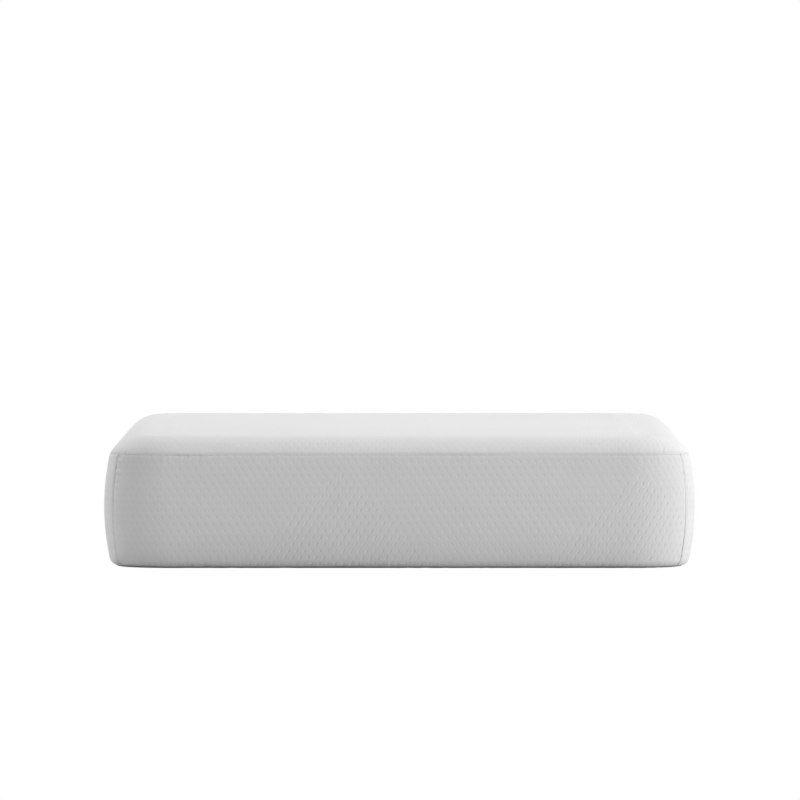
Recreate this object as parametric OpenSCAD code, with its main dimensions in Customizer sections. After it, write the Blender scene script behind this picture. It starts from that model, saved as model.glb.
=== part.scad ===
// Memory foam mattress with a knitted cover that zips off at the head end.
// Frame: +Z up, +Y towards the head end, origin on the floor under the middle. Millimetres.

/* [Mattress] */
// Width across the bed at the widest part of the walls
width = 1372; // [960:1:1950]
// Length of the bed
length = 1905; // [1800:1:2150]
// Thickness from the floor to the top
height = 305; // [290:1:330]
// Corner radius seen from above
corner_r = 158; // [120:1:220]

/* [Wall profile] */
// Radius of the outward bow of each wall
wall_r = 565; // [500:5:620]
// Angle that the wall leans inward at the top and bottom of its bow
wall_lean = 12; // [10.6:0.1:13]
// Radius where the wall turns under
foot_r = 27; // [20:1:36]
// Radius of the tight edge where the wall meets the top panel
edge_r = 24; // [16:1:30]
// Steepness of the top panel where it meets the tight edge
shoulder_a = 56; // [50:1:60]

/* [Cover and core] */
// Thickness of the knitted cover
cover_t = 2.4; // [1.5:0.1:3]
// Thickness of the fire barrier sleeve
sleeve_t = 1.2; // [0.8:0.1:2]
// Free space between the cover, the sleeve and the foam
layer_gap = 0.3; // [0.2:0.05:0.5]
// Thickness of the memory foam layer
memory_t = 76; // [40:1:90]
// Thickness of the comfort foam layer
comfort_t = 70; // [40:1:90]
// Width of a sewn seam
seam_w = 1.6; // [1:0.1:3]
// How far inside the side wall each corner seam stands
corner_seam_in = 23.3; // [15:0.1:40]

/* [Zipper] */
// Height of the zipper's middle on the head end wall
zip_z = 48; // [40:1:70]
// Plain wall between each end of the zipper and the corner
zip_margin = 8; // [4:1:40]
// Height of the slot between the two edges of the cover
zip_slot = 10; // [9.6:0.1:12]
// Width of each zipper tape
tape_w = 14.5; // [12:0.5:18]
// Thickness of the zipper tape
tape_t = 0.7; // [0.5:0.1:0.8]
// Width of one closed coil chain
coil_w = 6; // [5.6:0.1:6.2]
// Height of the coils above the tape
coil_t = 1.9; // [1.5:0.1:2]
// Length of the slider
slider_l = 12; // [10:0.5:16]
// Length of the pull tab from its pivot to its tip
tab_l = 24; // [18:1:32]

/* [Label] */
// Width of the blank law label
label_w = 92; // [60:1:120]
// Height of the blank law label
label_h = 46; // [30:1:48]

/* [Hidden] */
$fn = 48;

// Colours
knit_white = [0.93, 0.93, 0.94];
base_grey = [0.72, 0.73, 0.75];
sleeve_cream = [0.90, 0.88, 0.82];
thread_white = [0.85, 0.85, 0.87];
memory_blue = [0.80, 0.88, 0.93];
comfort_white = [0.93, 0.92, 0.87];
base_foam_grey = [0.82, 0.82, 0.80];
tape_white = [0.88, 0.88, 0.90];
coil_white = [0.80, 0.80, 0.82];
metal_grey = [0.62, 0.63, 0.65];

// Middles of the round corners, and the lengths of the straight walls
corner_x = width / 2 - corner_r;
corner_y = length / 2 - corner_r;
straight_x = 2 * corner_x;
straight_y = 2 * corner_y;

// The wall profile is a chain of tangent arcs in a plane (out, z). out is measured from the corner's middle.
// Each point is named by the angle of its outward normal: 0 is straight up, 90 level, 180 straight down.
wall_c = [corner_r - wall_r, foot_r + (wall_r - foot_r) * sin(wall_lean)];
edge_c = wall_c + (wall_r - edge_r) * [cos(wall_lean), sin(wall_lean)];
foot_c = wall_c + (wall_r - foot_r) * [cos(wall_lean), -sin(wall_lean)];
shoulder_r = (height - edge_c[1] - edge_r * cos(shoulder_a)) / (1 - cos(shoulder_a));
shoulder_c = edge_c - (shoulder_r - edge_r) * [sin(shoulder_a), cos(shoulder_a)];

// Angles of the profile's points
shoulder_steps = [for (i = [0:8]) i * shoulder_a / 8];
edge_steps = [for (i = [0:4]) shoulder_a + i * (90 - wall_lean - shoulder_a) / 4];
wall_steps = [for (i = [1:11]) 90 - wall_lean + i * wall_lean / 6];
foot_steps = [for (i = [0:8]) 90 + wall_lean + i * (90 - wall_lean) / 8];
profile_steps = concat(shoulder_steps, edge_steps, wall_steps, foot_steps);

// Depths of each layer below the outer face of the cover
sleeve_d = cover_t + layer_gap;
foam_d = sleeve_d + sleeve_t + layer_gap;

// Seams, named by the profile angle at their middle
shoulder_seam_a = 62;
base_seam_a = 150;
shoulder_seam_half = deg_of(seam_w / 2, edge_r);
base_seam_half = deg_of(seam_w / 2, foot_r);
seam_top_a = shoulder_seam_a + shoulder_seam_half;
seam_bottom_a = base_seam_a - base_seam_half;

// Corner seams, named by their angle round the corner from the side wall
corner_seam_a = acos(1 - corner_seam_in / corner_r);
corner_seam_half = deg_of(seam_w / 2, corner_r);

// Zipper frame: x along the wall, y out of it and z up it, with its origin on the cover's outer face
zip_a = wall_angle(zip_z, 0);
zip_y = corner_y + profile_point(zip_a, 0)[0];
zip_l = straight_x - 2 * zip_margin;
slot_half_a = deg_of(zip_slot / 2, wall_r);
tape_y = -cover_t - 0.4 - tape_t;
coil_y = tape_y + tape_t;
post_gap = 0.8;
running_gap = 0.3;
stop_l = 4;
chain_l = zip_l - 2 * tape_w;

// Slider, closed against the top stops
slider_x = chain_l / 2 - stop_l - slider_l / 2 - running_gap;
slider_w = zip_slot - 0.8;
plate_t = 1.3;
plate_y = coil_y + coil_t + running_gap;
under_plate_y = tape_y - running_gap - plate_t;
flange_y = coil_y + 0.4;
flange_t = slider_w / 2 - coil_w / 2 - running_gap;
post_l = 2.4;

// Bail and pull tab
bail_l = 6;
bail_w = 1.6;
bail_rise = 3.4;
bail_t = 0.9;
tab_pin_r = 0.8;
tab_w = 7;
tab_t = 1.2;
tab_pivot_y = plate_y + plate_t + tab_pin_r + running_gap;
tab_pivot_x = slider_x;

// The sleeve and the foam give way behind the tapes by this much, over this height each way
dent_d = 3;
dent_half = tape_w + 3;
dent_half_a = deg_of(dent_half, wall_r);

// Where the foam layers meet
foam_z0 = foam_d;
base_top_z = height - foam_d - memory_t - comfort_t;
comfort_top_z = height - foam_d - memory_t;

// Angle that an arc of length s spans at radius r
function deg_of(s, r) = s / r * 180 / PI;

// Centre and radius of the profile's arc at normal angle a
function arc_centre(a) =
    a < shoulder_a ? shoulder_c :
    a < 90 - wall_lean ? edge_c :
    a < 90 + wall_lean ? wall_c : foot_c;
function arc_radius(a) =
    a < shoulder_a ? shoulder_r :
    a < 90 - wall_lean ? edge_r :
    a < 90 + wall_lean ? wall_r : foot_r;

// Point of the profile at normal angle a, d below the outer face
function profile_point(a, d) = arc_centre(a) + (arc_radius(a) - d) * [sin(a), cos(a)];

// Normal angle at which the wall's bow reaches height z, d below the outer face
function wall_angle(z, d) = acos((z - wall_c[1]) / (wall_r - d));

// Profile angles from a0 to a1
function steps(a0, a1) = concat([a0], [for (a = profile_steps) if (a > a0 + 0.2 && a < a1 - 0.2) a], [a1]);

// Points of the profile from a0 to a1 at depth d
function profile(a0, a1, d) = [for (a = steps(a0, a1)) profile_point(a, d)];

function reversed(v) = [for (i = [len(v) - 1:-1:0]) v[i]];

// Section of a sheet that follows the profile from a0 to a1, between two depths
module sheet_section(a0, a1, d0, d1) {
    polygon(concat(profile(a0, a1, d0), reversed(profile(a0, a1, d1))));
}

// Section of a sheet that closes over the top (a0 = 0) or under the base (a1 = 180)
module top_section(a1, d0, d1) {
    polygon(concat([[0, height - d0]], profile(0, a1, d0), reversed(profile(0, a1, d1)), [[0, height - d1]]));
}
module base_section(a0, d0, d1) {
    polygon(concat(profile(a0, 180, d0), [[0, d0], [0, d1]], reversed(profile(a0, 180, d1))));
}

// Section of a foam layer from z0 to z1
module foam_section(z0, z1) {
    a0 = z1 > height - foam_d - 0.01 ? 0 : wall_angle(z1, foam_d);
    a1 = z0 < foam_d + 0.01 ? 180 : wall_angle(z0, foam_d);
    polygon(concat([[0, z0], [0, z1]], profile(a0, a1, foam_d)));
}

// A straight stretch l long of a section, facing +X, centred on the Y axis of its wall
module straight(l) {
    translate([0, l / 2, 0])
        rotate([90, 0, 0])
            linear_extrude(height = l)
                children();
}

// The stretches of a section on the four walls
module right_wall() {
    translate([corner_x, 0, 0]) straight(straight_y) children();
}
module left_wall() {
    rotate([0, 0, 180]) right_wall() children();
}
module head_wall(l = straight_x) {
    rotate([0, 0, 90]) translate([corner_y, 0, 0]) straight(l) children();
}
module foot_wall() {
    rotate([0, 0, 180]) head_wall() children();
}

// A section swept from angle b0 to b1 round the head right corner. 0 faces the right wall, 90 the head end.
// The sweep starts exactly at b0, so b0 is the end that meets a straight stretch.
module corner_sweep(b0, b1) {
    translate([corner_x, corner_y, 0])
        rotate([0, 0, b0])
            mirror([0, b1 < b0 ? 1 : 0, 0])
                rotate_extrude(angle = abs(b1 - b0))
                    children();
}

// Copies a child from the head right corner to another: sx is -1 on the left, sy is -1 at the foot
module to_corner(sx, sy) {
    mirror([sx < 0 ? 1 : 0, 0, 0])
        mirror([0, sy < 0 ? 1 : 0, 0])
            children();
}

// A section swept round the whole outline
module all_round() {
    right_wall() children();
    left_wall() children();
    head_wall() children();
    foot_wall() children();
    for (sx = [-1, 1], sy = [-1, 1])
        to_corner(sx, sy) corner_sweep(0, 90) children();
}

// The flat middle of a layer between two heights
module middle(z0, z1) {
    translate([-corner_x, -corner_y, z0]) cube([straight_x, straight_y, z1 - z0]);
}

// Places a child in the zipper frame
module at_zip() {
    translate([0, zip_y, zip_z]) rotate([90 - zip_a, 0, 0]) children();
}

// A block centred in x, from y0 to y1 and z0 to z1
module bar(l, y0, y1, z0, z1) {
    translate([-l / 2, y0, z0]) cube([l, y1 - y0, z1 - z0]);
}

// ---- Foam core ----

module foam_layer(z0, z1) {
    union() {
        all_round() foam_section(z0, z1);
        middle(z0, z1);
    }
}

// The shallow hollow that the tapes and the slider press into the foam
module zipper_hollow() {
    half = dent_half + 0.5;
    at_zip() bar(straight_x + 1, -foam_d - dent_d, 0, -half, half);
}

module base_foam_layer() {
    color(base_foam_grey)
        difference() {
            foam_layer(foam_z0, base_top_z);
            zipper_hollow();
        }
}

module comfort_foam_layer() {
    color(comfort_white) foam_layer(base_top_z, comfort_top_z);
}

module memory_foam_layer() {
    color(memory_blue) foam_layer(comfort_top_z, height - foam_d);
}

// ---- Fire barrier sleeve ----

// The closed sock section, with a dent behind the zipper when dent is true
module sleeve_section(dent = false) {
    d0 = sleeve_d;
    d1 = sleeve_d + sleeve_t;
    a0 = zip_a - dent_half_a;
    a1 = zip_a + dent_half_a;
    top = height - d0;
    if (dent) {
        polygon(concat(
            [[0, top]], profile(0, a0, d0), profile(a0 + 0.2, a1 - 0.2, d0 + dent_d), profile(a1, 180, d0), [[0, d0]],
            [[0, d1]], reversed(profile(a1, 180, d1)), reversed(profile(a0 + 0.2, a1 - 0.2, d1 + dent_d)),
            reversed(profile(0, a0, d1)), [[0, height - d1]]));
    } else {
        polygon(concat(
            [[0, top]], profile(0, 180, d0), [[0, d0]],
            [[0, d1]], reversed(profile(0, 180, d1)), [[0, height - d1]]));
    }
}

// The seam that closes one end of the sock
module sleeve_seam() {
    half = deg_of(seam_w / 2, wall_r);
    head_wall(straight_x - 20) sheet_section(90 - half, 90 + half, sleeve_d, sleeve_d + sleeve_t / 2);
}

module fire_barrier_sleeve() {
    color(sleeve_cream)
        difference() {
            union() {
                right_wall() sleeve_section();
                left_wall() sleeve_section();
                foot_wall() sleeve_section();
                head_wall() sleeve_section(dent = true);
                for (sx = [-1, 1], sy = [-1, 1])
                    to_corner(sx, sy) corner_sweep(0, 90) sleeve_section();
                middle(height - sleeve_d - sleeve_t, height - sleeve_d);
                middle(sleeve_d, sleeve_d + sleeve_t);
            }
            sleeve_seam();
            rotate([0, 0, 180]) sleeve_seam();
        }
}

module sleeve_seam_head() {
    color(thread_white) sleeve_seam();
}

module sleeve_seam_foot() {
    color(thread_white) rotate([0, 0, 180]) sleeve_seam();
}

// ---- Cover ----

module cover_top_panel() {
    color(knit_white)
        union() {
            all_round() top_section(shoulder_seam_a - shoulder_seam_half, 0, cover_t);
            middle(height - cover_t, height);
        }
}

module base_panel() {
    color(base_grey)
        union() {
            all_round() base_section(base_seam_a + base_seam_half, 0, cover_t);
            middle(0, cover_t);
        }
}

// The part of a side panel below the shoulder seam and above the base binding
module wall_section() {
    sheet_section(seam_top_a, seam_bottom_a, 0, cover_t);
}

// The stretches of an end panel that wrap round its two corners, for the head end
module end_wraps() {
    for (sx = [-1, 1])
        to_corner(sx, 1) corner_sweep(90, corner_seam_a + corner_seam_half) wall_section();
}

// The stretches of a side panel that wrap round its two corners, for the right wall
module side_wraps() {
    for (sy = [-1, 1])
        to_corner(1, sy) corner_sweep(0, corner_seam_a - corner_seam_half) wall_section();
}

module side_panel_right() {
    color(knit_white)
        union() {
            right_wall() wall_section();
            side_wraps();
        }
}

module side_panel_left() {
    color(knit_white)
        union() {
            left_wall() wall_section();
            mirror([1, 0, 0]) side_wraps();
        }
}

module side_panel_foot() {
    color(knit_white)
        union() {
            foot_wall() wall_section();
            mirror([0, 1, 0]) end_wraps();
        }
}

// Above the zipper, with both corner stretches at full height
module side_panel_head() {
    color(knit_white)
        union() {
            head_wall() sheet_section(seam_top_a, zip_a - slot_half_a, 0, cover_t);
            end_wraps();
        }
}

// The strip of cover between the zipper and the base
module head_lower_band() {
    color(knit_white)
        head_wall() sheet_section(zip_a + slot_half_a, seam_bottom_a, 0, cover_t);
}

module shoulder_seam() {
    color(thread_white)
        all_round()
            sheet_section(shoulder_seam_a - shoulder_seam_half, shoulder_seam_a + shoulder_seam_half, 0.5, cover_t);
}

module base_binding() {
    color(thread_white)
        all_round()
            sheet_section(base_seam_a - base_seam_half, base_seam_a + base_seam_half, 0.3, cover_t);
}

module corner_seam(sx, sy) {
    color(thread_white)
        to_corner(sx, sy)
            corner_sweep(corner_seam_a - corner_seam_half, corner_seam_a + corner_seam_half)
                sheet_section(seam_top_a, seam_bottom_a, 0.5, cover_t);
}

module law_label() {
    a_top = wall_angle(zip_z + 18 + label_h, 0);
    a_bottom = wall_angle(zip_z + 18, 0);
    color(tape_white)
        translate([-corner_x / 2, 0, 0])
            head_wall(label_w) sheet_section(a_top, a_bottom, -0.35, 0);
}

// ---- Zipper ----

// A tape above the chain, with its inner edge clear of the slider's post
module tape() {
    bar(zip_l, tape_y, tape_y + tape_t, post_gap, tape_w);
}

// One side's coils, above the chain's middle
module coil() {
    translate([0, coil_y + coil_t / 2, post_gap])
        difference() {
            bar(chain_l - 2 * stop_l, -coil_t / 2, coil_t / 2, 0, coil_w / 2 - post_gap);
            translate([0, coil_t / 2, coil_w / 2 - post_gap])
                rotate([45, 0, 0])
                    cube([chain_l, coil_t / 3, coil_t / 3], center = true);
        }
}

// One top stop, above the chain's middle, beyond the end of the coils
module top_stop() {
    translate([chain_l / 2 - stop_l / 2, 0, 0])
        bar(stop_l, coil_y, coil_y + coil_t, post_gap, coil_w / 2);
}

module zipper_tape_upper() {
    color(tape_white) at_zip() tape();
}

module zipper_tape_lower() {
    color(tape_white) at_zip() mirror([0, 0, 1]) tape();
}

module zipper_coil_upper() {
    color(coil_white) at_zip() coil();
}

module zipper_coil_lower() {
    color(coil_white) at_zip() mirror([0, 0, 1]) coil();
}

module zipper_top_stop_upper() {
    color(metal_grey) at_zip() top_stop();
}

module zipper_top_stop_lower() {
    color(metal_grey) at_zip() mirror([0, 0, 1]) top_stop();
}

// Crosses both coils at the end where the zipper opens
module zipper_bottom_stop() {
    color(metal_grey)
        at_zip()
            translate([-chain_l / 2 + stop_l / 2, 0, 0])
                bar(stop_l, coil_y, coil_y + coil_t, -coil_w / 2, coil_w / 2);
}

// A slider plate with rounded ends, from y0 to y1
module slider_plate(y0, y1) {
    end_r = slider_w / 4;
    for (sx = [-1, 1], sz = [-1, 1])
        translate([sx * (slider_l / 2 - end_r), y1, sz * (slider_w / 2 - end_r)])
            rotate([90, 0, 0]) cylinder(r = end_r, h = y1 - y0);
    bar(slider_l - 2 * end_r, y0, y1, -slider_w / 2, slider_w / 2);
    bar(slider_l, y0, y1, -slider_w / 2 + end_r, slider_w / 2 - end_r);
}

module zipper_slider() {
    post_half = post_gap - running_gap;
    color(metal_grey)
        at_zip()
            translate([slider_x, 0, 0])
                union() {
                    slider_plate(plate_y, plate_y + plate_t);
                    slider_plate(under_plate_y, under_plate_y + plate_t);
                    for (s = [-1, 1]) {
                        z_in = s > 0 ? slider_w / 2 - flange_t : -slider_w / 2;
                        bar(slider_l - slider_w / 2, flange_y, plate_y, z_in, z_in + flange_t);
                    }
                    translate([slider_l / 2 - post_l / 2, 0, 0])
                        bar(post_l, under_plate_y, plate_y + plate_t, -post_half, post_half);
                    bail();
                }
}

// The arch that holds the pull tab on the slider
module bail() {
    y0 = plate_y + plate_t;
    for (s = [-1, 1])
        translate([s * (bail_l / 2 - bail_t / 2), 0, 0])
            bar(bail_t, y0 - 0.2, y0 + bail_rise, -bail_w / 2, bail_w / 2);
    bar(bail_l, y0 + bail_rise - bail_t, y0 + bail_rise, -bail_w / 2, bail_w / 2);
}

// Rests flat along the zipper, pointing away from the open end
module zipper_pull_tab() {
    eye_gap = bail_w / 2 + running_gap;
    arm_l = bail_l / 2 + 2;
    arm_w = tab_w / 2 - eye_gap;
    color(metal_grey)
        at_zip()
            translate([tab_pivot_x, tab_pivot_y, 0])
                union() {
                    translate([0, 0, -tab_w / 2]) cylinder(r = tab_pin_r, h = tab_w);
                    for (z0 = [eye_gap, -tab_w / 2])
                        translate([arm_l / 2, 0, 0]) bar(arm_l, -tab_t / 2, tab_t / 2, z0, z0 + arm_w);
                    translate([(arm_l + tab_l - tab_w / 2) / 2, 0, 0])
                        bar(tab_l - tab_w / 2 - arm_l, -tab_t / 2, tab_t / 2, -tab_w / 2, tab_w / 2);
                    translate([tab_l - tab_w / 2, tab_t / 2, 0])
                        rotate([90, 0, 0]) cylinder(r = tab_w / 2, h = tab_t);
                }
}

base_foam_layer();
comfort_foam_layer();
memory_foam_layer();
fire_barrier_sleeve();
sleeve_seam_head();
sleeve_seam_foot();
cover_top_panel();
side_panel_foot();
side_panel_head();
side_panel_left();
side_panel_right();
head_lower_band();
base_panel();
shoulder_seam();
base_binding();
corner_seam(-1, -1);  // corner_seam_foot_left
corner_seam(1, -1);  // corner_seam_foot_right
corner_seam(-1, 1);  // corner_seam_head_left
corner_seam(1, 1);  // corner_seam_head_right
zipper_tape_upper();
zipper_tape_lower();
zipper_coil_upper();
zipper_coil_lower();
zipper_top_stop_upper();
zipper_top_stop_lower();
zipper_bottom_stop();
zipper_slider();
zipper_pull_tab();
law_label();
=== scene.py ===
import math

import bpy
import numpy as np
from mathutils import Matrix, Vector


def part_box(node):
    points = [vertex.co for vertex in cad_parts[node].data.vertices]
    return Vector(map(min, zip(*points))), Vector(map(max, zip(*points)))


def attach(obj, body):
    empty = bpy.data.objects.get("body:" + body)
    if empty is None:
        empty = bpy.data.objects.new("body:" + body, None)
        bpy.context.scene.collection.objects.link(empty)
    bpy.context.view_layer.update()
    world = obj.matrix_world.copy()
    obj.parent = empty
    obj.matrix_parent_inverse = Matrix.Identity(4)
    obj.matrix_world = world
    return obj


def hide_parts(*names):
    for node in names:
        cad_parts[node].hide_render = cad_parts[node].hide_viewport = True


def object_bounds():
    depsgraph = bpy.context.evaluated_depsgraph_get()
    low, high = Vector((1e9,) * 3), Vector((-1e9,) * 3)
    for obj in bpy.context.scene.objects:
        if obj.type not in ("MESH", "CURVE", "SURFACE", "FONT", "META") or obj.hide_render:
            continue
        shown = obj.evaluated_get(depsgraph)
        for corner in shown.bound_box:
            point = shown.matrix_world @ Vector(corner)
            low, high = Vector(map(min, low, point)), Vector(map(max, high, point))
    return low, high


# The looks of a memory foam mattress with a knitted cover that zips off at the head end.
# Metres, +Z up, +Y towards the head end. Each soft piece replaces one CAD node; the zipper's metal
# parts are the CAD nodes themselves.

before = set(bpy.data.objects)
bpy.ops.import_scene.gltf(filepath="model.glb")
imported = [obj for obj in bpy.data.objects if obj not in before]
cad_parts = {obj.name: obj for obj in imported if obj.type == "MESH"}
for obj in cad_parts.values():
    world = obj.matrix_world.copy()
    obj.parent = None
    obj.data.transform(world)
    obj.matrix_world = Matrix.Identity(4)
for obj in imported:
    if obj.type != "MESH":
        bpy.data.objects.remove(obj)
cad_low, cad_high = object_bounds()

# ---- Driving dimensions, as in the CAD part ----
WIDTH = cad_high.x - cad_low.x
LENGTH = cad_high.y - cad_low.y
HEIGHT = cad_high.z - cad_low.z
CORNER_R = 0.158
WALL_R = 0.565
WALL_LEAN = math.radians(12)
FOOT_R = 0.027
EDGE_R = 0.024
SHOULDER_A = math.radians(56)
COVER_T = 0.0024
SLEEVE_DEPTH = 0.0027
SLEEVE_T = 0.0012
FOAM_DEPTH = 0.0042
SEAM_W = 0.0016
CORNER_SEAM_IN = 0.0233
SHOULDER_SEAM_A = math.radians(62)
BASE_SEAM_A = math.radians(150)
ZIP_Z = 0.048
ZIP_SLOT = 0.010
ZIP_DENT = 0.003

# ---- Mesh spacing. A sheet's inner face has every COARSE-th line of its outer one ----
WALL_STEP = 0.0022
SIDE_STEP = 0.0024
TOP_STEP = 0.0056
BASE_STEP = 0.012
FOAM_STEP = 0.022
EDGE_STEP = 0.0008
EDGE_GROWTH = 1.3
COARSE = 4
SHARP_ANGLE = math.radians(50)

# ---- The cover's seams: how far the cloth dips there, and how far from them it is itself again ----
SEAM_DIP = 0.0017
CORNER_DIP = 0.0024
SLACK_CORNER_DIP = 0.0014
SEAM_SOFT = 0.0034
PUCKER = 0.0013
PUCKER_REACH = 0.011
PUCKERS_FROM = 0.002
DASHES_FROM = 0.006
SLACK_FROM = 0.02
BASE_GIVE = 0.9

# ---- Thread: a cord of gathered allowance along each seam, and slanted stitches over it ----
STITCH_PITCH = 0.003
STITCH_REACH = 0.0009
STITCH_LIFT = 0.0006
STITCH_SLANT = 0.35
STITCH_ARCH = 0.0002
THREAD_R = 0.0003
THREAD_SIDES = 6
THREAD_UV = 0.002
CORD_R = 0.0008
RING_CORD_DEPTH = 0.0013
CORNER_CORD_DEPTH = 0.0019
OUTSIDE = -0.01

# Rows of pressed-in dashes, which lean right inside broad diamonds and left outside them
DASH_ANGLE = math.radians(59)
DASH_PITCH = 0.0185
ROW_GAP = 0.0155
DASH_L = 0.0135
DASH_W = 0.0066
DASH_SINK = 0.0005
DASH_EDGE = 1.6
# How sharply a dash's painted highlight on its left side turns into the painted shade on its right
PAINTED_SIDE_EDGE = 2.2
DIAMOND_PITCH = (0.70, 0.50)
DIAMOND_HALF = (0.25, 0.24)
DIAMOND_AT = (-0.14, 0.15)
DIAMOND_EDGE = 6.0
LEFT_SHARE = 0.5

UV_NAME = "cloth"
SEED = 7

# ---- Profile: a chain of arcs from the base's middle, round the wall, to the top's middle ----
# rise is the distance along it from where the base is flat; out is measured from a corner's middle.
half_x = WIDTH / 2 - CORNER_R
half_y = LENGTH / 2 - CORNER_R


def polar(radius, angle):
    """A vector in the (out, z) plane, its angle measured from straight up."""
    return radius * np.array([math.sin(angle), math.cos(angle)])


wall_c = np.array([CORNER_R - WALL_R, FOOT_R + (WALL_R - FOOT_R) * math.sin(WALL_LEAN)])
top_lean = math.pi / 2 - WALL_LEAN
foot_lean = math.pi / 2 + WALL_LEAN
edge_c = wall_c + polar(WALL_R - EDGE_R, top_lean)
foot_c = wall_c + polar(WALL_R - FOOT_R, foot_lean)
shoulder_r = (HEIGHT - edge_c[1] - EDGE_R * math.cos(SHOULDER_A)) / (1 - math.cos(SHOULDER_A))
shoulder_c = edge_c - polar(shoulder_r - EDGE_R, SHOULDER_A)

arc_centres = np.array([foot_c, wall_c, edge_c, shoulder_c])
arc_radii = np.array([FOOT_R, WALL_R, EDGE_R, shoulder_r])
arc_angles = np.array([math.pi, foot_lean, top_lean, SHOULDER_A, 0])
arc_rises = foot_c[0] + np.concatenate([[0], np.cumsum(-arc_radii * np.diff(arc_angles))])
rise_end = arc_rises[-1] + shoulder_c[0]


def rise_of(angle):
    """The rise at which the profile's outward normal has that angle."""
    return float(np.interp(-angle, -arc_angles, arc_rises))


def profile(rise, depth):
    """out and z of the profile at each rise, that deep below the cover's outer face."""
    angle = np.interp(rise, arc_rises, arc_angles)
    arc = np.clip(np.searchsorted(arc_rises, rise, side="right") - 1, 0, 3)
    reach = arc_radii[arc] - depth
    out = arc_centres[arc, 0] + reach * np.sin(angle)
    z = arc_centres[arc, 1] + reach * np.cos(angle)
    out = np.where(rise < arc_rises[0], rise, out)
    out = np.where(rise > arc_rises[-1], rise_end - rise, out)
    return out, z


rise_base_seam = rise_of(BASE_SEAM_A)
rise_top_seam = rise_of(SHOULDER_SEAM_A)
seam_gap = SEAM_W / 2

zip_a = math.acos((ZIP_Z - wall_c[1]) / WALL_R)
zip_y = half_y + wall_c[0] + WALL_R * math.sin(zip_a)
zip_tilt = math.pi / 2 - zip_a
rise_zip = rise_of(zip_a)

corner_seam_turn = math.acos(1 - CORNER_SEAM_IN / CORNER_R)
end_wrap = (math.pi / 2 - corner_seam_turn) * CORNER_R
side_wrap = corner_seam_turn * CORNER_R

# Each wall: the way it faces, how far out its corner middles are, and half its straight length
WALLS = {
    "foot": ((0, -1), half_y, half_x),
    "right": ((1, 0), half_x, half_y),
    "head": ((0, 1), half_y, half_x),
    "left": ((-1, 0), half_x, half_y),
}


def wall_points(wall, u, rise, depth):
    """Points of a wall. u runs to the right along it, as seen from outside, from its middle."""
    facing, offset, half = WALLS[wall]
    facing = np.array(facing, float)
    along = np.array([-facing[1], facing[0]])
    turn = np.sign(u) * np.maximum(np.abs(u) - half, 0) / CORNER_R
    out, z = profile(rise, depth)
    ways = np.cos(turn)[..., None] * facing + np.sin(turn)[..., None] * along
    flat = offset * facing + np.clip(u, -half, half)[..., None] * along + out[..., None] * ways
    return np.concatenate([flat, z[..., None]], axis=-1)


def round_points(p, q, section):
    """Points of the top or the base. p and q run along X and Y, and go round each corner together.
    section gives out and z for a distance from the flat middle."""
    px, qy = np.abs(p) - half_x, np.abs(q) - half_y
    far = np.maximum(np.maximum(px, qy), 0)
    near = np.maximum(np.minimum(px, qy), 0)
    share = np.divide(near, far, out=np.zeros_like(far), where=far > 0) * math.pi / 4
    turn = np.where(px >= qy, share, math.pi / 2 - share)
    out, z = section(far)
    x = np.sign(p) * (np.minimum(np.abs(p), half_x) + out * np.cos(turn))
    y = np.sign(q) * (np.minimum(np.abs(q), half_y) + out * np.sin(turn))
    return np.stack([x, y, z], axis=-1)


def zip_points(local):
    """From the zipper's frame, with x along the wall, y out of it and z up it, to the row's."""
    x, y, z = np.moveaxis(np.asarray(local, float), -1, 0)
    c, s = math.cos(zip_tilt), math.sin(zip_tilt)
    return np.stack([x, zip_y + y * c - z * s, ZIP_Z + y * s + z * c], axis=-1)


# ---- A number in a shader, so that one formula serves both the mesh and the material ----
class Socket:
    """The output of a shader node, which adds and multiplies like a number."""

    def __init__(self, tree, out):
        self.tree = tree
        self.out = out

    def math(self, operation, *others):
        node = self.tree.nodes.new("ShaderNodeMath")
        node.operation = operation
        for slot, value in zip(node.inputs, (self, *others)):
            if isinstance(value, Socket):
                self.tree.links.new(value.out, slot)
            else:
                slot.default_value = value
        return Socket(self.tree, node.outputs[0])

    __add__ = __radd__ = lambda self, other: self.math("ADD", other)
    __mul__ = __rmul__ = lambda self, other: self.math("MULTIPLY", other)
    __sub__ = lambda self, other: self.math("SUBTRACT", other)
    __rsub__ = lambda self, other: self.math("MULTIPLY", -1.0).math("ADD", other)
    __truediv__ = lambda self, other: self.math("DIVIDE", other)


def either(operation, function):
    """A function that takes numpy arrays or Sockets."""
    return lambda x, *rest: x.math(operation, *rest) if isinstance(x, Socket) else function(x, *rest)


floor = either("FLOOR", np.floor)
size = either("ABSOLUTE", np.abs)
sine = either("SINE", np.sin)
least = either("MINIMUM", np.minimum)
most = either("MAXIMUM", np.maximum)


def wrapped(x):
    """x less its nearest whole number, from -0.5 to 0.5."""
    return x - floor(x + 0.5)


def dash_rows(u, v, lean):
    """How deep each dash is, from 0 to 1, and which side of its middle, from 1 at its left edge to
    -1 at its right. lean is 1 for dashes that lean right and -1 for left."""
    run, climb = lean * math.cos(DASH_ANGLE), math.sin(DASH_ANGLE)
    across = (v * run - u * climb) / ROW_GAP
    along = (u * run + v * climb) / DASH_PITCH + floor(across + 0.5) * 0.5
    beside = wrapped(across) * (2 * ROW_GAP / DASH_W)
    off_ridge = size(wrapped(along)) * (2 * DASH_PITCH / DASH_L)
    depth = least(most(1.0 - off_ridge * off_ridge - size(beside), 0.0) * DASH_EDGE, 1.0)
    # The side sets painted light and shade in the knit's colour: lighter at a dash's left edge, darker at
    # its right
    return depth, least(most(beside * PAINTED_SIDE_EDGE, -1.0), 1.0)


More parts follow.
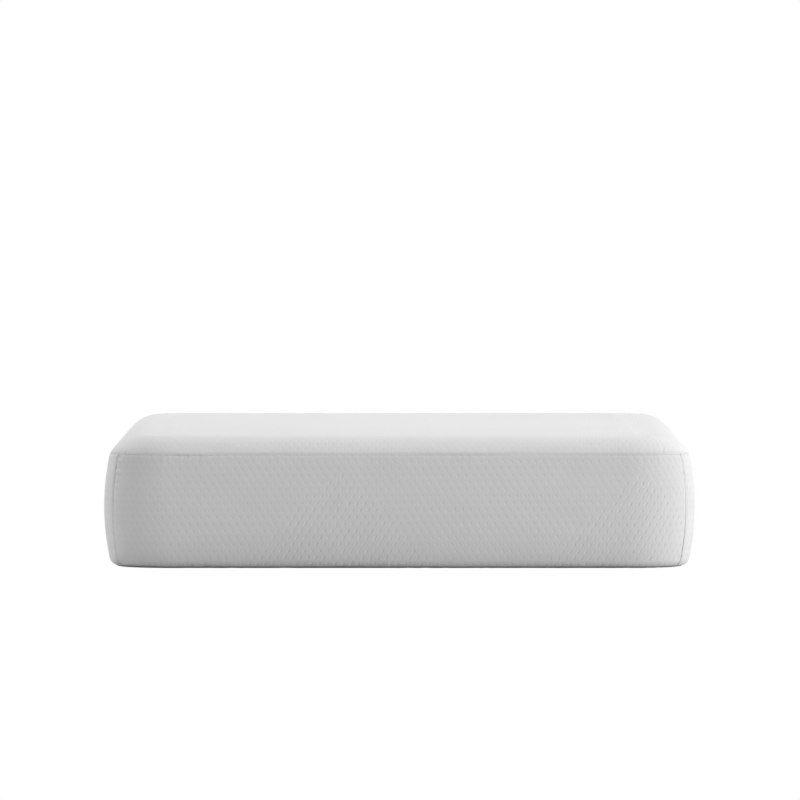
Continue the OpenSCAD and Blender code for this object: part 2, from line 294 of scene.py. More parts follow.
def dashes(u, v):
    """The jacquard pattern at u, v in metres on the cloth: its depth and its side, as above."""
    du = size(wrapped((u - DIAMOND_AT[0]) / DIAMOND_PITCH[0])) * (DIAMOND_PITCH[0] / DIAMOND_HALF[0])
    dv = size(wrapped((v - DIAMOND_AT[1]) / DIAMOND_PITCH[1])) * (DIAMOND_PITCH[1] / DIAMOND_HALF[1])
    inside = least(most((1.0 - du - dv) * DIAMOND_EDGE, 0.0), 1.0)
    outside = (1.0 - inside) * LEFT_SHARE
    right_depth, right_side = dash_rows(u, v, 1)
    left_depth, left_side = dash_rows(u, v, -1)
    right_depth, left_depth = right_depth * inside, left_depth * outside
    return right_depth + left_depth, right_depth * right_side + left_depth * left_side


# ---- Mesh tools. A soup is (points, [faces of one size each], uvs) ----
def merged(*soups):
    """One soup from several."""
    points, faces, uvs, start = [], [], [], 0
    for p, fs, uv in soups:
        points.append(p)
        uvs.append(uv)
        faces.extend(f + start for f in fs)
        start += len(p)
    return np.concatenate(points), faces, np.concatenate(uvs)


def build(name, soup):
    """A smooth mesh object from a soup, with edges sharper than SHARP_ANGLE kept."""
    points, faces, uvs = soup
    faces = [f for f in faces if len(f)]
    corners = np.concatenate([f.ravel() for f in faces])
    used, corners = np.unique(corners, return_inverse=True)
    points, uvs = points[used], uvs[used]
    sizes = np.concatenate([np.full(len(f), f.shape[1]) for f in faces])
    mesh = bpy.data.meshes.new(name)
    mesh.vertices.add(len(points))
    mesh.vertices.foreach_set("co", points.astype(np.float32).ravel())
    mesh.loops.add(len(corners))
    mesh.loops.foreach_set("vertex_index", corners.astype(np.int32))
    mesh.polygons.add(len(sizes))
    mesh.polygons.foreach_set("loop_start", (np.cumsum(sizes) - sizes).astype(np.int32))
    mesh.update(calc_edges=True)
    mesh.validate()
    layer = mesh.uv_layers.new(name=UV_NAME)
    layer.data.foreach_set("uv", uvs[corners].astype(np.float32).ravel())
    mesh.shade_smooth()
    mesh.set_sharp_from_angle(angle=SHARP_ANGLE)
    piece = bpy.data.objects.new(name, mesh)
    bpy.context.scene.collection.objects.link(piece)
    return piece


def run_of(start, end, step, edge_step):
    """Positions from start to end, step apart, closing up to edge_step at both ends."""
    ramp = edge_step * EDGE_GROWTH ** np.arange(1 + math.ceil(math.log(step / edge_step, EDGE_GROWTH)))
    extra = 2 * np.sum(1 - np.minimum(ramp, step) / step)
    count = COARSE * math.ceil(((end - start) / step + extra) / COARSE)
    index = np.arange(count)
    gaps = np.minimum(step, edge_step * EDGE_GROWTH ** np.minimum(index, index[::-1]))
    at = np.concatenate([[0], np.cumsum(gaps)])
    return start + (end - start) * at / at[-1]


def lines(stops, step, edge_step=EDGE_STEP):
    """Positions from the first stop to the last, closing up at each."""
    runs = [run_of(start, end, step, edge_step) for start, end in zip(stops, stops[1:])]
    return np.concatenate([runs[0]] + [run[1:] for run in runs[1:]])


def crossed(us, vs):
    """u and v at each crossing of those lines."""
    return np.meshgrid(us, vs, indexing="ij")


def cells(ids):
    """The four corners of each cell of a grid of indices, anticlockwise."""
    return np.stack([ids[:-1, :-1], ids[1:, :-1], ids[1:, 1:], ids[:-1, 1:]], axis=-1)


def rims(kept, fine, coarse):
    """Faces round the border of the kept coarse cells, from the fine surface to the coarse one."""
    corners = np.array([(0, 0), (1, 0), (1, 1), (0, 1), (0, 0)])
    around = np.pad(kept, 1)
    faces = []
    for cell in np.argwhere(kept):
        for a, b in zip(corners + cell, corners[1:] + cell):
            along = b - a
            if not around[cell[0] + 1 + along[1], cell[1] + 1 - along[0]]:
                run = [fine[tuple(a * COARSE + along * n)] for n in range(COARSE, -1, -1)]
                faces.append(run + [coarse[tuple(a)], coarse[tuple(b)]])
    return np.array(faces)


def shell(us, vs, outer, inner, keep=None):
    """A closed sheet: a fine outer face, a coarse inner one, and a rim between them. outer and inner
    give points for u and v, and keep says which coarse cells there are."""
    cu, cv = us[::COARSE], vs[::COARSE]
    kept = np.ones((len(cu) - 1, len(cv) - 1), bool)
    if keep:
        kept = keep(*crossed((cu[1:] + cu[:-1]) / 2, (cv[1:] + cv[:-1]) / 2))
    u, v = crossed(us, vs)
    u2, v2 = crossed(cu, cv)
    fine = np.arange(u.size).reshape(u.shape)
    coarse = u.size + np.arange(u2.size).reshape(u2.shape)
    front = cells(fine)[kept.repeat(COARSE, 0).repeat(COARSE, 1)]
    back = cells(coarse)[kept][:, ::-1]
    points = np.concatenate([outer(u, v).reshape(-1, 3), inner(u2, v2).reshape(-1, 3)])
    uvs = np.concatenate([np.stack([u, v], -1).reshape(-1, 2), np.stack([u2, v2], -1).reshape(-1, 2)])
    return points, [front, back, rims(kept, fine, coarse)], uvs


def circles(ahead, normals, sides):
    """A unit circle round each way ahead, starting where the normals point: its points' angles, its
    points and its first one."""
    side = np.cross(ahead, normals)
    side /= np.linalg.norm(side, axis=1)[:, None]
    up = np.cross(side, ahead)[:, None]
    turn = np.arange(sides) * 2 * math.pi / sides
    return turn, np.cos(turn)[None, :, None] * up + np.sin(turn)[None, :, None] * side[:, None], up


def tube(path, normals, radius, sides=THREAD_SIDES, closed=False):
    """A tube along a path. normals point to its first side."""
    ahead = np.roll(path, -1, 0) - np.roll(path, 1, 0)
    if not closed:
        ahead[0], ahead[-1] = path[1] - path[0], path[-1] - path[-2]
    ahead /= np.linalg.norm(ahead, axis=1)[:, None]
    turn, ring, up = circles(ahead, normals, sides)
    points = path[:, None] + radius * ring
    ids = np.arange(points[..., 0].size).reshape(points.shape[:2])
    wrap = np.concatenate([ids, ids[:, :1]], axis=1)
    if closed:
        wrap = np.concatenate([wrap, wrap[:1]])
    faces = [cells(wrap).reshape(-1, 4)[:, ::-1]]
    if not closed:
        faces.append(np.array([ids[0], ids[-1][::-1]]))
    run = np.concatenate([[0], np.cumsum(np.linalg.norm(np.diff(path, axis=0), axis=1))])
    uvs = np.stack([np.repeat(run, sides), np.tile(turn * radius, len(path))], axis=-1)
    return points.reshape(-1, 3), faces, uvs


def stitches(starts, ends, normals, arch, radius=THREAD_R):
    """A rounded length of thread from each start to its end, arched along its normal."""
    along = np.array([0.0, 0.12, 0.35, 0.65, 0.88, 1.0])
    thick = np.array([0.45, 0.85, 1.0, 1.0, 0.85, 0.45]) * radius
    way = ends - starts
    turn, ring, up = circles(way / np.linalg.norm(way, axis=1)[:, None], normals, THREAD_SIDES)
    middle = starts[:, None] + along[None, :, None] * way[:, None]
    middle = middle + (arch * 4 * along * (1 - along))[None, :, None] * up
    points = middle[:, :, None] + thick[None, :, None, None] * ring[:, None]
    ids = np.arange(points[..., 0].size).reshape(points.shape[:3])
    wrap = np.concatenate([ids, ids[:, :, :1]], axis=2)
    quads = np.stack([wrap[:, :-1, :-1], wrap[:, :-1, 1:], wrap[:, 1:, 1:], wrap[:, 1:, :-1]], -1)
    caps = np.concatenate([ids[:, 0], ids[:, -1][:, ::-1]])
    uvs = np.stack(np.broadcast_arrays(along[None, :, None] * THREAD_UV, turn[None, None] * radius), -1)
    uvs = np.broadcast_to(uvs, points.shape[:3] + (2,)).reshape(-1, 2)
    return points.reshape(-1, 3), [quads.reshape(-1, 4), caps], uvs


# ---- How the cloth's surface departs from the plain profile ----
rng = np.random.default_rng(SEED)
WAVE_COUNT = 7
WAVE_SPREAD = (0.7, 1.5)


def wave_set(length):
    """Random waves about that long, which add up to a smooth unevenness of about 1 either way."""
    angle = rng.uniform(0, 2 * math.pi, WAVE_COUNT)
    number = 2 * math.pi / (length * rng.uniform(*WAVE_SPREAD, WAVE_COUNT))
    phase = rng.uniform(0, 2 * math.pi, WAVE_COUNT)
    return np.stack([number * np.cos(angle), number * np.sin(angle), phase])


def waves(waveset, u, v):
    """The sum of a wave set at u and v."""
    total = sum(np.sin(a * u + b * v + c) for a, b, c in waveset.T)
    return total / math.sqrt(WAVE_COUNT)


broad = wave_set(0.34)
middling = wave_set(0.11)
gathers = wave_set(0.016)
small_gathers = wave_set(0.007)
seam_tension = wave_set(0.3)


def seam_relief(distance, run, dip):
    """The dip at a sewn edge, and the puckers beside it, at that distance from the edge. The puckers
    run ten times as far across the edge as along it, and come and go with the thread's tension."""
    across = distance * 0.1
    tension = waves(seam_tension, run, across)
    dip = -dip * (0.75 + 0.25 * tension) * np.exp(-((distance / SEAM_SOFT) ** 2))
    pull = 0.6 * waves(gathers, run, across) + 0.4 * waves(small_gathers, run, across)
    pull = pull * np.clip(0.6 + 0.7 * tension, 0, 2)
    return dip + PUCKER * pull * np.exp(-distance / PUCKER_REACH) * np.minimum(distance / PUCKERS_FROM, 1)


def cloth_relief(u, v, slack, edges, patterned=True):
    """How far the cloth stands out. Each edge is (distance from it, position along it, its dip)."""
    closest = np.minimum.reduce([distance for distance, run, dip in edges])
    rise = slack(u, v) * np.minimum(closest / SLACK_FROM, 1)
    for edge in edges:
        rise = rise + seam_relief(*edge)
    if patterned:
        rise = rise - DASH_SINK * dashes(u, v)[0] * np.minimum(closest / DASHES_FROM, 1)
    return rise


# ---- Cloth simulation: each panel between its seams, on a coarse grid over the core ----
SIM_STEP = 0.016
SIM_FRAMES = 20
SIM_PRESSURE = 1.0
SIM_SLACK = (-0.006, 0.003)
SIM_REACH = (0.0005, 0.0013)


def spline(t):
    """The cubic B-spline's weight at a distance of t steps."""
    t = np.abs(t)
    return np.where(t < 1, 2 / 3 - t ** 2 + t ** 3 / 2, np.maximum(2 - t, 0) ** 3 / 6)


def sampled(field, us, vs, u, v):
    """A field on an even grid, read smoothly at any u and v."""
    at_u = (u - us[0]) / (us[1] - us[0])
    at_v = (v - vs[0]) / (vs[1] - vs[0])
    total = 0
    for i in range(-1, 3):
        near_u = np.floor(at_u) + i
        row = np.clip(near_u, 0, len(us) - 1).astype(int)
        for j in range(-1, 3):
            near_v = np.floor(at_v) + j
            column = np.clip(near_v, 0, len(vs) - 1).astype(int)
            total = total + spline(at_u - near_u) * spline(at_v - near_v) * field[row, column]
    return total


def even(start, end):
    """Positions for the simulation's grid."""
    return np.linspace(start, end, 1 + round((end - start) / SIM_STEP))


def drawn_taut(us, vs, place, held=None):
    """Blender's cloth, blown gently outwards from the core and sewn down at its edges. Gives a
    function of u and v for how far the cloth stands out. place takes u, v and a depth."""
    u, v = crossed(us, vs)
    start = place(u, v, 0.0).reshape(-1, 3)
    outward = place(u, v, -1.0).reshape(-1, 3) - start
    ids = np.arange(u.size).reshape(u.shape)
    piece = build("simulated", (start, [cells(ids).reshape(-1, 4)], np.stack([u, v], -1).reshape(-1, 2)))
    sewn = np.ones(u.shape, bool)
    sewn[1:-1, 1:-1] = False
    if held:
        sewn |= held(u, v)
    seams = piece.vertex_groups.new(name="seams")
    seams.add(np.flatnonzero(sewn.ravel()).tolist(), 1.0, "REPLACE")
    slack = piece.vertex_groups.new(name="slack")
    loose = np.clip(0.5 + 0.3 * waves(broad, u, v) + 0.3 * waves(middling, u, v), 0, 1).ravel()
    for index, weight in enumerate(loose):
        slack.add([index], float(weight), "REPLACE")
    cloth = piece.modifiers.new("cloth", "CLOTH")
    rules = cloth.settings
    rules.quality = 6
    rules.vertex_group_mass = "seams"
    rules.mass = 0.002
    rules.use_pressure = True
    rules.uniform_pressure_force = SIM_PRESSURE
    rules.vertex_group_shrink = "slack"
    rules.shrink_max, rules.shrink_min = SIM_SLACK
    rules.tension_stiffness = rules.compression_stiffness = 30
    rules.shear_stiffness = 10
    rules.bending_stiffness = 0.02
    rules.effector_weights.gravity = 0
    cloth.point_cache.frame_start, cloth.point_cache.frame_end = 1, SIM_FRAMES
    for moment in range(1, SIM_FRAMES + 1):
        bpy.context.scene.frame_set(moment)
    settled = piece.evaluated_get(bpy.context.evaluated_depsgraph_get()).to_mesh()
    end = np.empty(3 * u.size)
    settled.vertices.foreach_get("co", end)
    bpy.data.meshes.remove(piece.data)
    bpy.context.scene.frame_set(1)
    off = np.sum((end.reshape(-1, 3) - start) * outward, axis=1).reshape(u.shape)
    inward, most_out = SIM_REACH
    off = np.where(off > 0, most_out * np.tanh(off / most_out), inward * np.tanh(off / inward))
    return lambda u, v: sampled(off, us, vs, u, v)


# ---- Materials ----
LOOP_DEPTH = 0.00012
DOT_PITCH = 0.004
RIB_PITCH = 0.003
TWIST_PITCH = 0.0012


def added(tree, kind, **values):
    """A new node, with those values on its inputs."""
    node = tree.nodes.new(kind)
    for socket, value in values.items():
        node.inputs[socket].default_value = value
    return node


class Surface:
    """A Principled material, with u and v in metres along the cloth. Constants go on the shader's own
    sockets."""

    def __init__(self, name, colour, **constants):
        self.colour = colour
        self.material = bpy.data.materials.new(name)
        self.material.use_nodes = True
        self.tree = self.material.node_tree
        self.inputs = self.tree.nodes["Principled BSDF"].inputs
        self.inputs["Base Color"].default_value = (*colour, 1)
        for socket, value in constants.items():
            self.inputs[socket.replace("_", " ").title().replace("Ior", "IOR")].default_value = value
        uv = self.tree.nodes.new("ShaderNodeUVMap")
        uv.uv_map = UV_NAME
        split = self.tree.nodes.new("ShaderNodeSeparateXYZ")
        self.tree.links.new(uv.outputs[0], split.inputs[0])
        self.u, self.v = (Socket(self.tree, out) for out in split.outputs[:2])

    def noise(self, kind="ShaderNodeTexNoise", **values):
        """A noise or Voronoi texture in the object's own coordinates."""
        where = self.tree.nodes.new("ShaderNodeTexCoord")
        texture = added(self.tree, kind, **values)
        self.tree.links.new(where.outputs["Object"], texture.inputs["Vector"])
        return Socket(self.tree, texture.outputs[0])

    def bump(self, height):
        """Relief from a height in metres."""
        node = added(self.tree, "ShaderNodeBump", Strength=1.0, Distance=1.0)
        self.tree.links.new(height.out, node.inputs["Height"])
        self.tree.links.new(node.outputs[0], self.inputs["Normal"])

    def tint(self, dark, light, amount):
        """Dark times the colour where amount is 0, and light times it where it is 1."""
        mix = self.tree.nodes.new("ShaderNodeMix")
        mix.data_type = "RGBA"
        for slot, factor in ((6, dark), (7, light)):
            mix.inputs[slot].default_value = (*(c * factor for c in self.colour), 1)
        self.tree.links.new(amount.out, mix.inputs[0])
        self.tree.links.new(mix.outputs[2], self.inputs["Base Color"])

    def roughen(self, low, high, amount):
        """The roughness, from low where amount is 0 to high where it is 1."""
        value = amount * (high - low) + low
        self.tree.links.new(value.out, self.inputs["Roughness"])


def knit_loops(u, v, wale, course):
    """V-shaped stitches in columns, from 0 to 1."""
    column = size(wrapped(u / wale)) * 2.0
    row = sine((v / course + column * 0.5) * (2 * math.pi)) * 0.5 + 0.5
    return (1.0 - column * column) * (row * 0.6 + 0.4)


def knit(name, colour, dash_depth, contrast):
    """A jacquard knit: fine stitches, and sunk dashes whose colour is painted lighter along their left side
    and darker along their right: a painted highlight and painted shade for light from the right falling
    into each groove."""
    surface = Surface(name, colour, roughness=0.85, specular_ior_level=0.25, sheen_weight=0.12)
    loops = knit_loops(surface.u, surface.v, wale=0.0017, course=0.0013)
    pattern, painted_lit_side = dashes(surface.u, surface.v)
    blotch = surface.noise(Scale=9.0, Detail=3.0)
    # Painted light and shade: each dash's left side lighter and its right side darker, as if lit from the
    # right
    surface.tint(1 - contrast, 1 + contrast / 2, painted_lit_side * 0.5 + blotch * 0.15 + loops * 0.2 + 0.45)
    surface.roughen(0.76, 0.9, pattern)
    surface.bump(loops * LOOP_DEPTH - pattern * dash_depth)
    return surface.material


def base_cloth(name, colour):
    """A bonded non-woven with a grid of pressed dots and loose fibres."""
    surface = Surface(name, colour, roughness=0.9, specular_ior_level=0.2)
    column, row = surface.u / DOT_PITCH, surface.v / DOT_PITCH
    dot = size(wrapped(column)) + size(wrapped(row + floor(column + 0.5) * 0.5))
    pressed = least(most((0.55 - dot) * 4.0, 0.0), 1.0)
    fibre = surface.noise(Scale=900.0, Detail=4.0)
    surface.tint(0.86, 1.04, fibre * 0.7 + (1.0 - pressed) * 0.3)
    surface.bump(fibre * 0.00008 - pressed * 0.00025)
    return surface.material


def rib_knit(name, colour):
    """The fire barrier's rib knit, with a broad column every RIB_PITCH."""
    surface = Surface(name, colour, roughness=0.95, sheen_weight=0.1)
    rib = sine(surface.u * (2 * math.pi / RIB_PITCH)) * 0.5 + 0.5
    loops = knit_loops(surface.u, surface.v, wale=0.0015, course=0.0016)
    blotch = surface.noise(Scale=14.0, Detail=3.0)
    surface.tint(0.88, 1.0, rib * 0.6 + blotch * 0.4)
    surface.bump(rib * 0.0003 + loops * 0.0001)
    return surface.material


def foam(name, colour, cell):
    """Open-cell foam, with pits the size of its cells."""
    surface = Surface(name, colour, roughness=0.95, specular_ior_level=0.15)
    pits = surface.noise("ShaderNodeTexVoronoi", Scale=1 / cell)
    blotch = surface.noise(Scale=5.0, Detail=3.0)
    surface.tint(0.84, 1.0, least(pits * 0.9 + blotch * 0.3, 1.0))
    surface.bump(pits * (cell * 0.5))
    return surface.material


def thread(name, colour):
    """Twisted polyester thread."""
    surface = Surface(name, colour, roughness=0.6, sheen_weight=0.1)
    twist = sine((surface.u * 2.0 + surface.v * 3.0) * (2 * math.pi / TWIST_PITCH)) * 0.5 + 0.5
    surface.tint(0.86, 1.0, twist)
    surface.bump(twist * 0.00005)
    return surface.material


def woven(name, colour, pitch, rise, roughness=0.8):
    """A plain weave of threads pitch apart."""
    surface = Surface(name, colour, roughness=roughness, sheen_weight=0.1)
    over = sine(surface.u * (math.pi / pitch)) * sine(surface.v * (math.pi / pitch)) * 0.5 + 0.5
    blotch = surface.noise(Scale=60.0, Detail=3.0)
    surface.tint(0.9, 1.0, over * 0.6 + blotch * 0.4)
    surface.bump(over * rise)
    return surface.material


def nylon(name, colour):
    """Glossy nylon wire, a little uneven in gloss."""
    surface = Surface(name, colour, subsurface_weight=0.1, subsurface_scale=0.001, coat_weight=0.15)
    patch = surface.noise(Scale=300.0, Detail=3.0)
    surface.tint(0.93, 1.0, patch)
    surface.roughen(0.3, 0.45, patch)
    return surface.material


def metal(name, colour):
    """Die-cast zinc with a fine tumbled finish, brighter on its worn edges."""
    surface = Surface(name, colour, metallic=1.0)
    grain = surface.noise(Scale=2500.0, Detail=5.0)
    edge = surface.tree.nodes.new("ShaderNodeNewGeometry")
    worn = Socket(surface.tree, edge.outputs["Pointiness"]) * 8.0 - 3.9
    surface.tint(0.8, 1.25, grain * 0.5 + least(most(worn, 0.0), 1.0) * 0.5)
    surface.roughen(0.28, 0.5, grain)
    surface.bump(grain * 0.00002)
    return surface.material


WHITE = (0.86, 0.86, 0.865)
knit_wall = knit("jacquard_knit_walls", WHITE, dash_depth=0.0005, contrast=0.17)
knit_top = knit("jacquard_knit_top", WHITE, dash_depth=0.0004, contrast=0.12)
grey_base = base_cloth("bonded_base_cloth", (0.52, 0.53, 0.55))
sleeve_cloth = rib_knit("fire_barrier_rib_knit", (0.78, 0.75, 0.66))
white_thread = thread("white_thread", (0.87, 0.87, 0.875))
# The corner seams' thread is painted grey as painted shade for the crease between the panels; the real
# thread is white
painted_shade_thread = thread("painted_shade_thread", (0.6, 0.6, 0.61))
memory = foam("memory_foam", (0.62, 0.74, 0.84), 0.0011)
comfort = foam("comfort_foam", (0.85, 0.83, 0.72), 0.0016)
support = foam("support_foam", (0.66, 0.66, 0.63), 0.0013)
tape_cloth = woven("zipper_tape_weave", (0.76, 0.76, 0.78), 0.0006, 0.00010)
label_cloth = woven("label_satin", (0.86, 0.86, 0.87), 0.0004, 0.00003, roughness=0.5)
coil_nylon = nylon("coil_nylon", (0.74, 0.74, 0.76))
zinc = metal("zipper_zinc", (0.62, 0.63, 0.65))


def finish(piece, node, material):
    """Gives a piece its material and body, and hides the CAD node that it stands for."""
    piece.data.materials.append(material)
    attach(piece, "mattress")
    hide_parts(node)
    return piece


# ---- Camera, at the photograph's angle: far away, slightly above and through a long lens ----
CAMERA_AWAY = 23.4
CAMERA_ASIDE = 0.001
CAMERA_UP = 1.064
CAMERA_DOWN_A = math.radians(1.6514)
camera = bpy.data.objects.new("camera", bpy.data.cameras.new("camera"))
bpy.context.scene.collection.objects.link(camera)
bpy.context.scene.camera = camera
camera.data.lens = 457.2
camera.data.sensor_width = 36.0
camera.data.clip_end = 200.0
camera.location = (CAMERA_ASIDE, cad_low.y - CAMERA_AWAY, CAMERA_UP)
camera.rotation_euler = (math.pi / 2 - CAMERA_DOWN_A, 0, 0)

# ---- Cover walls ----
u_end = half_x + end_wrap - seam_gap
u_side = half_y + side_wrap - seam_gap
rise_low = rise_base_seam + seam_gap
rise_high = rise_top_seam - seam_gap
WALL_REACH = {"foot": u_end, "right": u_side, "head": u_end, "left": u_side}
ON_ZIP = 0.013


def beside_zip(u, rise):
    """Where the head panel is sewn to the zipper."""
    return (np.abs(rise - rise_zip) < ON_ZIP) & (np.abs(u) < half_x + ON_ZIP)


slack_of = {
    wall: drawn_taut(
        even(-reach, reach), even(rise_low, rise_high),
        lambda u, rise, depth: wall_points(wall, u, rise, depth),
        beside_zip if wall == "head" else None,
    )
    for wall, reach in WALL_REACH.items()
}


def wall_relief(wall, u, rise):
    """How far the cloth of a wall stands out, its seams and dashes included. What is added to a
    position along an edge only makes that edge's puckers differ from the others'."""
    reach = WALL_REACH[wall]
    edges = [
        (reach - u, rise, CORNER_DIP),
        (u + reach, rise + 1.0, SLACK_CORNER_DIP),
        (rise - rise_low, u + 3.0, SEAM_DIP),
        (rise_high - rise, u, SEAM_DIP),
    ]
    return cloth_relief(u, rise, slack_of[wall], edges)


def wall_piece(node, name, wall, us, rises, relief, keep=None):
    """The cover's cloth over those lines of a wall."""
    soup = shell(
        us, rises,
        lambda u, r: wall_points(wall, u, r, -relief(u, r)),
        lambda u, r: wall_points(wall, u, r, COVER_T),
        keep,
    )
    piece = finish(build(name, soup), node, knit_wall)


def side_panel(node, name, wall, step):
    """A side panel, from one corner seam to the next."""
    us = lines((-WALL_REACH[wall], WALL_REACH[wall]), step)
    rises = lines((rise_low, rise_high), step)
    wall_piece(node, name, wall, us, rises, lambda u, r: wall_relief(wall, u, r))


side_panel("side_panel_foot", "knit_panel_foot", "foot", WALL_STEP)
side_panel("side_panel_right", "knit_panel_right", "right", SIDE_STEP)
side_panel("side_panel_left", "knit_panel_left", "left", SIDE_STEP)

# ---- Head wall, split by the zipper ----
rise_slot_low = rise_zip - ZIP_SLOT / 2
rise_slot_high = rise_zip + ZIP_SLOT / 2
BAND_GAP = 0.0001
SLOT_DIP = 0.0006
SLOT_SOFT = 0.002
LABEL_MARGIN = 0.006
label_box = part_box("law_label")
label_u = sorted((-label_box[0].x, -label_box[1].x))
label_rises = sorted(rise_of(math.acos((corner.z - wall_c[1]) / WALL_R)) for corner in label_box)


def label_edge(u, rise):
    """How far inside the label's nearest edge."""
    return np.minimum.reduce([u - label_u[0], label_u[1] - u, rise - label_rises[0], label_rises[1] - rise])


def head_relief(u, rise):
    """The head panel dips at the zipper's edge as at a seam, and lies flat under the label."""
    over_slot = np.where(np.abs(u) < half_x + 0.001, np.abs(rise - rise_zip) - ZIP_SLOT / 2, 1.0)
    past_slot = np.where(rise < rise_slot_high, np.abs(u) - half_x, 1.0)
    under_label = np.clip(1 + label_edge(u, rise) / LABEL_MARGIN, 0, 1)
    relief = wall_relief("head", u, rise) * (1 - under_label)
    for gap in (over_slot, past_slot):
        relief = relief - SLOT_DIP * np.exp(-((np.maximum(gap, 0) / SLOT_SOFT) ** 2))
    return relief


def head_panel():
    """The head end's side panel, with an opening for the zipper and the band below it."""
    us = lines((-u_end, -half_x, half_x, u_end), SIDE_STEP)
    rises = lines((rise_low, rise_slot_high, rise_high), SIDE_STEP)
    wall_piece("side_panel_head", "knit_panel_head", "head", us, rises, head_relief,
               lambda u, r: (np.abs(u) > half_x) | (r > rise_slot_high))


def head_band():
    """The strip of cover below the zipper."""
    reach = half_x - BAND_GAP
    us = lines((-reach, reach), SIDE_STEP)
    rises = lines((rise_low, rise_slot_low), SIDE_STEP)
    wall_piece("head_lower_band", "knit_band_under_zipper", "head", us, rises, head_relief)


head_panel()
head_band()

# ---- Top and base ----
top_reach = rise_end - rise_top_seam - seam_gap
base_reach = rise_base_seam - seam_gap


def round_piece(node, name, rise_at, reach, step, material, base=False):
    """The top or the base: the flat middle, and all round it to the seam. rise_at gives the rise for
    a distance from the flat middle. The base faces down, has no dashes and only gives way."""
    ends_p, ends_q = (-half_x - reach, half_x + reach), (-half_y - reach, half_y + reach)
    ps = lines(ends_p, step, EDGE_STEP * 1.5)
    qs = lines(ends_q, step, EDGE_STEP * 1.5)
    ps = ps[::-1] if base else ps

    def at_depth(p, q, depth):
        return round_points(p, q, lambda far: profile(rise_at(far), depth))

    slack = drawn_taut(even(*ends_p), even(*ends_q), at_depth)

    def outer(p, q):
        px, qy = np.abs(p) - half_x, np.abs(q) - half_y
        edge = reach - np.maximum(np.maximum(px, qy), 0)
        run = np.where(px > qy, q, p + 5.0)
        relief = cloth_relief(p, q, slack, [(edge, run, SEAM_DIP)], not base)
        return at_depth(p, q, -(np.minimum(relief, 0) * BASE_GIVE if base else relief))

    piece = finish(build(name, shell(ps, qs, outer, lambda p, q: at_depth(p, q, COVER_T))),
                   node, material)


round_piece("cover_top_panel", "knit_top_panel", lambda far: rise_end - far, top_reach, TOP_STEP,
            knit_top)
round_piece("base_panel", "base_cloth_panel", lambda far: far, base_reach, BASE_STEP,
            grey_base, base=True)

# ---- Seams ----
outline_length = 4 * (half_x + half_y) + 2 * math.pi * CORNER_R


def ring_points(rise, depth, count):
    """Points all round the mattress at one rise, about count of them."""
    per_metre = count / outline_length
    points = []
    for wall in ("foot", "right", "head", "left"):
        reach = WALLS[wall][2] + CORNER_R * math.pi / 4
        u = np.linspace(-reach, reach, round(2 * reach * per_metre), endpoint=False)
        points.append(wall_points(wall, u, np.full(len(u), rise), depth))
    return np.concatenate(points)


def ring_seam(name, node, rise):
    """A seam all round: a cord of gathered allowance, and a stitch across it every STITCH_PITCH."""
    count = 4 * round(outline_length / STITCH_PITCH / 2)
    path = ring_points(rise, RING_CORD_DEPTH, count)
    cord = tube(path, ring_points(rise, OUTSIDE, count) - path, CORD_R, closed=True)
    count = 4 * round(outline_length / STITCH_PITCH / 4)
    lower = ring_points(rise - STITCH_REACH, RING_CORD_DEPTH - STITCH_LIFT, count)
    upper = ring_points(rise + STITCH_REACH, RING_CORD_DEPTH - STITCH_LIFT, count)
    outer = ring_points(rise, OUTSIDE, count)
    slanted = np.roll(upper, -1, 0) * STITCH_SLANT + upper * (1 - STITCH_SLANT)
    soup = merged(cord, stitches(lower, slanted, outer - lower, STITCH_ARCH))
    finish(build(name, soup), node, white_thread)


ring_seam("shoulder_seam_thread", "shoulder_seam", rise_top_seam)
ring_seam("base_binding_thread", "base_binding", rise_base_seam)


def corner_seam(node, name, wall, side):
    """The upright seam at one end of an end panel, made the same way."""

    def seam_points(across, rises, depth):
        return wall_points(wall, np.full(len(rises), side * (half_x + end_wrap) + across), rises, depth)

    rises = np.linspace(rise_low, rise_high, round((rise_high - rise_low) / STITCH_PITCH) * 2)
    path = seam_points(0, rises, CORNER_CORD_DEPTH)
    cord = tube(path, seam_points(0, rises, OUTSIDE) - path, CORD_R)
    at = rises[:-2:2]
    depth = CORNER_CORD_DEPTH - STITCH_LIFT
    start = seam_points(-STITCH_REACH, at, depth)
    end = seam_points(STITCH_REACH, at + STITCH_PITCH * STITCH_SLANT, depth)
    soup = merged(cord, stitches(start, end, seam_points(0, at, OUTSIDE) - start, STITCH_ARCH))
    # Cord and stitches painted grey: painted shade for the crease where the panels meet
    finish(build(name, soup), node, painted_shade_thread)


corner_seam("corner_seam_foot_left", "corner_thread_foot_left", "foot", -1)
corner_seam("corner_seam_foot_right", "corner_thread_foot_right", "foot", 1)
corner_seam("corner_seam_head_right", "corner_thread_head_right", "head", -1)
corner_seam("corner_seam_head_left", "corner_thread_head_left", "head", 1)

# ---- Law label and the zipper's topstitching ----
LABEL_STEPS = (0.0012, 0.0004)
LABEL_RISE = (0.0005, 0.0001)
LABEL_STITCH_IN = 0.003
LABEL_SAG = 0.00022
LABEL_SAG_W = 0.0011
LABEL_UNEVEN = 0.00012
TOPSTITCH_IN = 0.0028
TOPSTITCH_L = 0.0023
TOPSTITCH_ARCH = 0.00025


